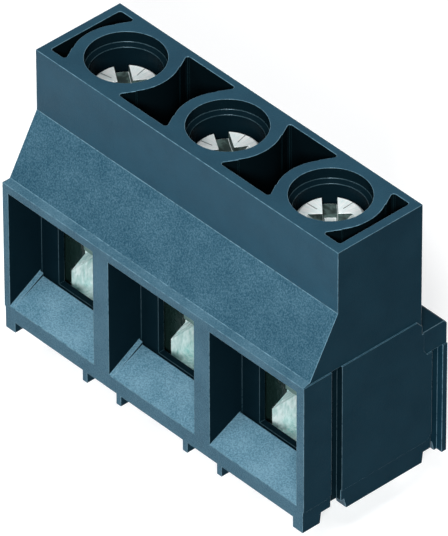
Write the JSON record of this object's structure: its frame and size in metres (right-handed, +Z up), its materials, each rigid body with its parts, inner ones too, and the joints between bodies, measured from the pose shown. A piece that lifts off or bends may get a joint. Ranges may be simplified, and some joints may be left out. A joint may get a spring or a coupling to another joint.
{
  "type": "pcb screw terminal",
  "caption": "Screw terminal block for a circuit board: moulded housing with square wire funnels in front, top screws in round wells, rising steel clamping yokes and solder pins.",
  "frame": {"origin": "middle of the row of solder pins, on the circuit board's surface", "axes": "+X along the row of poles, +Y from the wire side to the back, +Z up from the board"},
  "size_m": [0.0378, 0.0165, 0.0312],
  "materials": {
    "housing_plastic": "moulded polyamide, spark-eroded grain on the shoulder and ramps",
    "screw_zinc": "bright zinc plating with turning marks",
    "yoke_zinc": "zinc plating, sheared edges",
    "bar_tin": "matt tin plating on copper"
  },
  "bodies": {
    "housing": {"housing": "housing_plastic", "current_bar_1": "bar_tin", "current_bar_2": "bar_tin", "current_bar_3": "bar_tin"},
    "screw_1": {"clamp_screw_1": "screw_zinc"},
    "yoke_1": {"clamping_yoke_1": "yoke_zinc"},
    "screw_2": {"clamp_screw_2": "screw_zinc"},
    "yoke_2": {"clamping_yoke_2": "yoke_zinc"},
    "screw_3": {"clamp_screw_3": "screw_zinc"},
    "yoke_3": {"clamping_yoke_3": "yoke_zinc"}
  },
  "joints": [
    {"name": "yoke_rise_1", "type": "slide", "parent": "housing", "child": "yoke_1", "axis": [0, 0, 1], "range_m": [0, 0.0042]},
    {"name": "screw_turn_1", "type": "hinge", "parent": "housing", "child": "screw_1", "pos_m": [-0.0127, -0.0048, 0.02245], "axis": [0, 0, 1], "range_deg": [-2160, 0]},
    {"name": "yoke_rise_2", "type": "slide", "parent": "housing", "child": "yoke_2", "axis": [0, 0, 1], "range_m": [0, 0.0042]},
    {"name": "screw_turn_2", "type": "hinge", "parent": "housing", "child": "screw_2", "pos_m": [0, -0.0048, 0.02245], "axis": [0, 0, 1], "range_deg": [-2160, 0]},
    {"name": "yoke_rise_3", "type": "slide", "parent": "housing", "child": "yoke_3", "axis": [0, 0, 1], "range_m": [0, 0.0042]},
    {"name": "screw_turn_3", "type": "hinge", "parent": "housing", "child": "screw_3", "pos_m": [0.0127, -0.0048, 0.02245], "axis": [0, 0, 1], "range_deg": [-2160, 0]}
  ],
  "couplings": [
    {"joint": "screw_turn_1", "follows": "yoke_rise_1", "rad_per_m": -8976},
    {"joint": "screw_turn_2", "follows": "yoke_rise_2", "rad_per_m": -8976},
    {"joint": "screw_turn_3", "follows": "yoke_rise_3", "rad_per_m": -8976}
  ]
}
